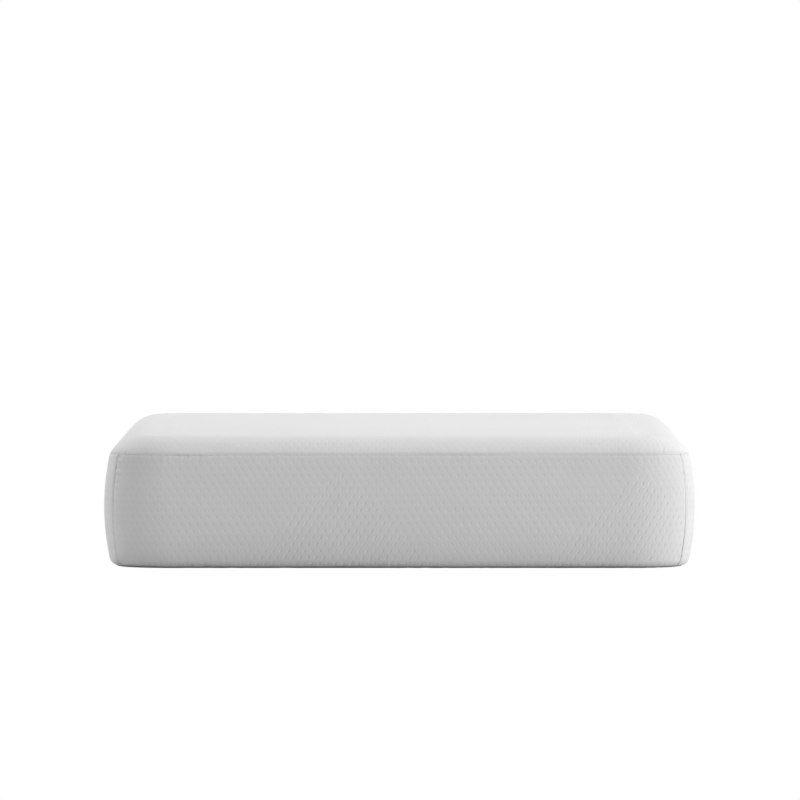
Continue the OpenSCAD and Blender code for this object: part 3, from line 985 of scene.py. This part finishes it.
def surface_stitches(name, path, relief):
    """Stitches laid end to end along straight runs on the head wall, from one (u, rise) of a path to
    the next."""
    starts, ends, lifted = [], [], []
    for a, b in zip(np.array(path), np.array(path[1:])):
        length = np.linalg.norm(b - a)
        count = round(length / STITCH_PITCH)
        begin = a + (b - a) * (np.arange(count) / count)[:, None]
        done = begin + (b - a) / length * TOPSTITCH_L
        for points, (u, rise) in ((starts, begin.T), (ends, done.T)):
            points.append(wall_points("head", u, rise, -relief(u, rise)))
        lifted.append(wall_points("head", begin[:, 0], begin[:, 1], OUTSIDE))
    starts, ends, lifted = (np.concatenate(x) for x in (starts, ends, lifted))
    piece = build(name, stitches(starts, ends, lifted - starts, TOPSTITCH_ARCH))
    piece.data.materials.append(white_thread)
    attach(piece, "mattress")


def law_label():
    """A blank satin label, sewn down all round."""
    us = lines(label_u, *LABEL_STEPS)
    rises = lines(label_rises, *LABEL_STEPS)

    def lift(u, rise):
        edge = label_edge(u, rise)
        sag = LABEL_SAG * np.exp(-(((edge - LABEL_STITCH_IN) / LABEL_SAG_W) ** 2))
        uneven = LABEL_UNEVEN * waves(small_gathers, u, rise) * np.clip(edge / 0.004, 0, 1)
        return LABEL_RISE[0] - sag + uneven

    soup = shell(
        us, rises,
        lambda u, r: wall_points("head", u, r, -lift(u, r)),
        lambda u, r: wall_points("head", u, r, -LABEL_RISE[1]),
    )
    piece = finish(build("blank_law_label", soup), "law_label", label_cloth)
    left, right = us[0] + LABEL_STITCH_IN, us[-1] - LABEL_STITCH_IN
    bottom, top = rises[0] + LABEL_STITCH_IN, rises[-1] - LABEL_STITCH_IN
    corners = [(left, bottom), (right, bottom), (right, top), (left, top), (left, bottom)]
    surface_stitches("label_stitches", corners, lift)


law_label()
stitched_u = half_x + TOPSTITCH_IN
stitched_high = rise_slot_high + TOPSTITCH_IN
stitched_low = rise_slot_low - TOPSTITCH_IN
stitched_foot = rise_low + 0.001
arch = [(-stitched_u, stitched_foot), (-stitched_u, stitched_high)]
arch += [(stitched_u, stitched_high), (stitched_u, stitched_foot)]
surface_stitches("zipper_topstitch_upper", arch, head_relief)
surface_stitches("zipper_topstitch_lower", [(-half_x, stitched_low), (half_x, stitched_low)], head_relief)

# ---- Zipper, in its own frame ----
coil_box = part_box("zipper_coil_upper")
TAPE_STEPS_ALONG = (0.004, 0.001)
TAPE_STEPS_ACROSS = (0.0007, 0.0003)
TAPE_W = 0.0145
TAPE_FACE = -0.0028
TAPE_BACK = -0.0035
POST_GAP = 0.0008
TAPE_PAST = 0.005
COIL_T = 0.0019
COIL_OUT = 0.003
COIL_CROSS = -0.0002
COIL_PITCH = 0.0016
COIL_WIRE = 0.00036
COIL_POINTS = 10
COIL_SIDES = 5
CORD_LIFT = 0.00018
CORD_AT = 0.0046
CORD_W = 0.0005
TAPE_UNEVEN = 0.00006


def zipper_tape(node, name, side):
    """One woven tape, with a thicker cord along the edge that carries the coil."""
    us = lines((-half_x - TAPE_PAST, half_x + TAPE_PAST), *TAPE_STEPS_ALONG)
    zs = lines((POST_GAP, TAPE_W), *TAPE_STEPS_ACROSS)
    us = us[::-1] if side < 0 else us

    def at(u, z, y):
        return zip_points(np.stack(np.broadcast_arrays(-u, y, side * z), -1))

    def face(u, z):
        edge_cord = CORD_LIFT * np.exp(-(((z - CORD_AT) / CORD_W) ** 2))
        return at(u, z, TAPE_FACE + edge_cord + TAPE_UNEVEN * waves(small_gathers, u, z))

    soup = shell(us, zs, face, lambda u, z: at(u, z, TAPE_BACK))
    piece = finish(build(name, soup), node, tape_cloth)


def zipper_coil(node, name, side):
    """One side's nylon wire, wound in flattened turns whose noses mesh with the other side's."""
    length = coil_box[1].x - coil_box[0].x
    turns = length / COIL_PITCH
    turn = np.linspace(0, turns * 2 * math.pi, round(turns * COIL_POINTS))
    turn = turn + (0 if side > 0 else math.pi)
    x = coil_box[0].x + length * np.linspace(0, 1, len(turn))
    middle_z = (COIL_OUT + COIL_CROSS) / 2
    reach_z = (COIL_OUT - COIL_CROSS) / 2 - COIL_WIRE
    reach_y = COIL_T / 2 - COIL_WIRE
    y = TAPE_FACE + COIL_T / 2 + reach_y * np.sin(turn)
    z = side * (middle_z + reach_z * np.cos(turn))
    path = zip_points(np.stack([x, y, z], -1))
    along = np.tile([1.0, 0.0, 0.0], (len(path), 1))
    soup = tube(path, along, COIL_WIRE, COIL_SIDES)
    finish(build(name, soup), node, coil_nylon)


zipper_tape("zipper_tape_upper", "tape_weave_upper", 1)
zipper_tape("zipper_tape_lower", "tape_weave_lower", -1)
zipper_coil("zipper_coil_upper", "coil_wire_upper", 1)
zipper_coil("zipper_coil_lower", "coil_wire_lower", -1)

# The zipper's metal parts and how far their edges are rounded
METAL_NODES = {
    "zipper_slider": 0.0003,
    "zipper_pull_tab": 0.0003,
    "zipper_top_stop_upper": 0.0004,
    "zipper_top_stop_lower": 0.0004,
    "zipper_bottom_stop": 0.0005,
}
for node, radius in METAL_NODES.items():
    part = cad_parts[node]
    part.data.materials.clear()
    part.data.materials.append(zinc)
    weld = part.modifiers.new("weld", "WELD")
    weld.merge_threshold = 0.00001
    bevel = part.modifiers.new("bevel", "BEVEL")
    bevel.width = radius
    bevel.segments = 3
    bevel.limit_method = "ANGLE"
    bevel.angle_limit = math.radians(35)
    bevel.harden_normals = True

# ---- Fire barrier sock and foam core ----
CAP_ROWS = 14
ROW_STEP = 0.008
FOAM_FILLET = 0.0015
PRESSED_RUN = (0.004, 0.003)
SOCK_CORD_R = 0.0003
SOCK_THREAD_R = 0.00015
SOCK_STITCH_REACH = 0.0012


def lengthened(half, rows):
    """Positions across a cap: the flat middle in metres, and one unit for each row outside it."""
    flat = np.linspace(-half, half, 1 + round(2 * half / FOAM_STEP))
    edge = np.arange(1, rows + 1)
    return np.concatenate([-half - edge[::-1], flat, half + edge])


def row_section(rows):
    """A section for round_points whose rows are one unit apart."""
    outs, zs = np.array(rows).T
    units = np.arange(len(outs))
    return lambda far: (np.interp(far, units, outs), np.interp(far, units, zs))


def round_body(top_rows, side_rows, base_rows):
    """A closed body over the whole plan. Each row is (out, z); the top's and the base's start at the
    flat middle and have the same number of rows, and the side's run down from one to the other."""
    rows = len(top_rows) - 1
    p, q = crossed(lengthened(half_x, rows), lengthened(half_y, rows))
    ids = np.arange(p.size).reshape(p.shape)
    border = np.concatenate([ids[:-1, 0], ids[-1, :-1], ids[:0:-1, -1], ids[0, :0:-1]])
    pb, qb = p.ravel()[border], q.ravel()[border]
    count = len(border)
    top = round_points(p, q, row_section(top_rows)).reshape(-1, 3)
    base = round_points(p, q, row_section(base_rows)).reshape(-1, 3)
    rings = [round_points(pb, qb, lambda far: np.tile(row, (count, 1)).T) for row in side_rows]
    side_ids = len(top) + len(base) + np.arange(len(rings) * count).reshape(-1, count)
    stack = np.concatenate([border[None], side_ids, border[None] + len(top)])
    stack = np.concatenate([stack, stack[:, :1]], axis=1)
    flat = cells(ids).reshape(-1, 4)
    faces = [flat, flat[:, ::-1] + len(top), cells(stack).reshape(-1, 4)]
    points = np.concatenate([top, base, *rings])
    step = np.linalg.norm(np.diff(rings[0], axis=0), axis=1)
    run = np.tile(np.concatenate([[0], np.cumsum(step)]), len(rings))
    side_uv = np.stack([run, np.concatenate(rings)[:, 2]], -1)
    return points, faces, np.concatenate([top[:, :2], base[:, :2], side_uv])


def pressed_in(soup):
    """Gives way behind the zipper's tapes."""
    points, faces, uvs = soup
    beyond = np.abs(points[:, 0]) - half_x - TAPE_PAST
    away = np.abs(points[:, 2] - ZIP_Z) - TAPE_W
    share = np.clip(1 - away / PRESSED_RUN[1], 0, 1) * np.clip(1 - beyond / PRESSED_RUN[0], 0, 1)
    points = points.copy()
    points[:, 1] -= np.where(points[:, 1] > half_y + FOOT_R, ZIP_DENT * share, 0)
    return points, faces, uvs


def profile_rows(rises, depth):
    """Rows of (out, z) at those rises and that depth."""
    return np.stack(profile(rises, depth), -1)


def top_cap(depth):
    """Rows from the top's flat middle to its seam."""
    return profile_rows(np.linspace(rise_end, rise_top_seam, CAP_ROWS + 1), depth)


def base_cap(depth):
    """Rows from the base's flat middle to its seam."""
    return profile_rows(np.linspace(0, rise_base_seam, CAP_ROWS + 1), depth)


def sock_skin(depth):
    """A closed surface at one depth below the cover's outer face."""
    sides = rise_top_seam - np.arange(ROW_STEP, rise_top_seam - rise_base_seam, ROW_STEP)
    return pressed_in(round_body(top_cap(depth), profile_rows(sides, depth), base_cap(depth)))


def inside_out(soup):
    """The same surface, facing the other way."""
    points, faces, uvs = soup
    return points, [f[:, ::-1] for f in faces], uvs


def fire_barrier_sock():
    """The knitted tube round the foam, closed at both ends."""
    soup = merged(sock_skin(SLEEVE_DEPTH), inside_out(sock_skin(SLEEVE_DEPTH + SLEEVE_T)))
    piece = finish(build("fire_barrier_sock", soup), "fire_barrier_sleeve", sleeve_cloth)


def sock_seam(node, name, wall):
    """The overlocked seam that closes one end of the sock."""
    seam_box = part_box(node)
    z = (seam_box[0].z + seam_box[1].z) / 2
    rise = rise_of(math.acos((z - wall_c[1]) / WALL_R))
    us = np.arange(seam_box[0].x, seam_box[1].x, STITCH_PITCH)
    level = np.full(len(us), rise)
    depth = SLEEVE_DEPTH + 0.0001
    path = wall_points(wall, us, level, depth)
    out = wall_points(wall, us, level, OUTSIDE) - path
    cord = tube(path, out, SOCK_CORD_R)
    low = wall_points(wall, us, level - SOCK_STITCH_REACH, depth)
    high = wall_points(wall, us + STITCH_PITCH * 0.6, level + SOCK_STITCH_REACH, depth)
    soup = merged(cord, stitches(low, high, out, STITCH_ARCH / 2, SOCK_THREAD_R))
    finish(build(name, soup), node, white_thread)


def foam_layer(node, name, material):
    """One foam sheet with slightly eased edges, its height taken from the CAD node."""
    low_z, high_z = (corner.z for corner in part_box(node))

    def rise_at(z):
        return rise_of(math.acos((z - wall_c[1]) / (WALL_R - FOAM_DEPTH)))

    def flat_rows(z):
        edge = float(profile(rise_at(z), FOAM_DEPTH)[0]) - FOAM_FILLET
        return np.stack([np.linspace(0, edge, CAP_ROWS + 1), np.full(CAP_ROWS + 1, z)], -1)

    top, start = flat_rows(high_z), rise_at(high_z) - FOAM_FILLET + ROW_STEP
    base, end = flat_rows(low_z), rise_at(low_z) + FOAM_FILLET - ROW_STEP
    if high_z > HEIGHT - FOAM_DEPTH - 0.001:
        top, start = top_cap(FOAM_DEPTH), rise_top_seam
    if low_z < FOAM_DEPTH + 0.001:
        base, end = base_cap(FOAM_DEPTH), rise_base_seam
    count = max(2, round((start - end) / ROW_STEP))
    side = profile_rows(np.linspace(start, end, count + 1)[1:-1], FOAM_DEPTH)
    soup = round_body(top, side, base)
    soup = pressed_in(soup) if low_z < ZIP_Z < high_z else soup
    piece = finish(build(name, soup), node, material)


fire_barrier_sock()
sock_seam("sleeve_seam_head", "sock_seam_head", "head")
sock_seam("sleeve_seam_foot", "sock_seam_foot", "foot")
foam_layer("base_foam_layer", "base_foam_block", support)
foam_layer("comfort_foam_layer", "comfort_foam_sheet", comfort)
foam_layer("memory_foam_layer", "memory_foam_sheet", memory)

# ---- Studio ----
FLOOR_REACH = 60.0
FLOOR_BELOW = 0.0002
HOLE_IN = 0.030
HOLE_POINTS = 160
HOLE_A = math.radians(100)
FLOOR_GREY = 0.8


def floor_with_hole():
    """A floor that is open under the mattress, so that the base can be looked at from below."""
    rim = ring_points(rise_of(HOLE_A), HOLE_IN, HOLE_POINTS)
    rim[:, 2] = cad_low.z - FLOOR_BELOW
    far = rim * [FLOOR_REACH, FLOOR_REACH, 1]
    ids = np.arange(2 * len(rim)).reshape(2, -1)
    ids = np.concatenate([ids, ids[:, :1]], axis=1)
    points = np.concatenate([rim, far])
    return build("floor", (points, [cells(ids).reshape(-1, 4)], points[:, :2]))


def emptied(owner):
    """The node tree of a material or a world, with nothing in it."""
    owner.use_nodes = True
    owner.node_tree.nodes.clear()
    return owner.node_tree


def mixed(tree, amount, first, second):
    """The first shader where amount is 0 and the second where it is 1."""
    mix = tree.nodes.new("ShaderNodeMixShader")
    for source, slot in zip((amount, first, second), mix.inputs):
        tree.links.new(source, slot)
    return mix.outputs[0]


def studio_floor():
    """Plain white where it is seen from above, a diffuse white to the lights, and open from below."""
    material = bpy.data.materials.new("studio_white")
    tree = emptied(material)
    out = tree.nodes.new("ShaderNodeOutputMaterial")
    diffuse = added(tree, "ShaderNodeBsdfDiffuse", Color=(FLOOR_GREY, FLOOR_GREY, FLOOR_GREY, 1))
    glow = added(tree, "ShaderNodeEmission", Color=(1, 1, 1, 1))
    clear = tree.nodes.new("ShaderNodeBsdfTransparent")
    path = tree.nodes.new("ShaderNodeLightPath")
    side = tree.nodes.new("ShaderNodeNewGeometry")
    seen = mixed(tree, path.outputs["Is Camera Ray"], diffuse.outputs[0], glow.outputs[0])
    both = mixed(tree, side.outputs["Backfacing"], seen, clear.outputs[0])
    tree.links.new(both, out.inputs["Surface"])
    return material


floor_piece = floor_with_hole()
floor_piece.data.materials.append(studio_floor())


def studio_world():
    """White behind everything. The lights do all the lighting, so it is black to the rest."""
    world = bpy.data.worlds.new("studio")
    bpy.context.scene.world = world
    tree = emptied(world)
    out = tree.nodes.new("ShaderNodeOutputWorld")
    backdrop = added(tree, "ShaderNodeBackground", Color=(1, 1, 1, 1))
    dark = added(tree, "ShaderNodeBackground", Strength=0.0)
    path = tree.nodes.new("ShaderNodeLightPath")
    seen = mixed(tree, path.outputs["Is Camera Ray"], dark.outputs[0], backdrop.outputs[0])
    tree.links.new(seen, out.inputs["Surface"])


def softbox(name, place, target, span, power):
    """A square area light, span across, that faces a point and isn't seen itself."""
    light = bpy.data.lights.new(name, "AREA")
    light.shape = "SQUARE"
    light.size = span
    light.energy = power
    box = bpy.data.objects.new(name, light)
    bpy.context.scene.collection.objects.link(box)
    box.location = place
    box.rotation_euler = (Vector(target) - Vector(place)).to_track_quat("-Z", "Y").to_euler()
    box.visible_camera = False


studio_world()
middle = (0, 0, HEIGHT / 2)
top_middle = (0, 0, HEIGHT)
softbox("light_over", (0, 0.8, 4.5), top_middle, 4.0, 132)
softbox("light_over_front", (0, -3.0, 4.5), top_middle, 3.0, 59)
softbox("light_right", (4.5, -0.5, 1.4), middle, 2.4, 9)
softbox("light_right_front", (4.5, -4.0, 1.6), middle, 2.4, 86)
softbox("light_right_rear", (4.5, 3.0, 1.6), middle, 2.4, 82)
softbox("light_right_low", (4.5, 0.3, 0.55), middle, 0.9, 11)
softbox("light_right_rear_low", (4.2, 3.2, 0.55), middle, 0.9, 11)
softbox("light_right_near", (2.6, -0.6, 1.2), (0.65, -0.85, 0.2), 0.9, 9)
softbox("light_left", (-4.5, -0.5, 1.4), middle, 2.4, 18)
softbox("light_left_front", (-4.5, -4.0, 1.6), middle, 2.4, 19)
softbox("light_left_rear", (-4.5, 3.0, 1.6), middle, 2.4, 112)
softbox("light_under", (0, 0, -3.0), (0, 0, 0), 2.4, 60)
bpy.context.scene.view_settings.view_transform = "Standard"
bpy.context.scene.view_settings.look = "None"
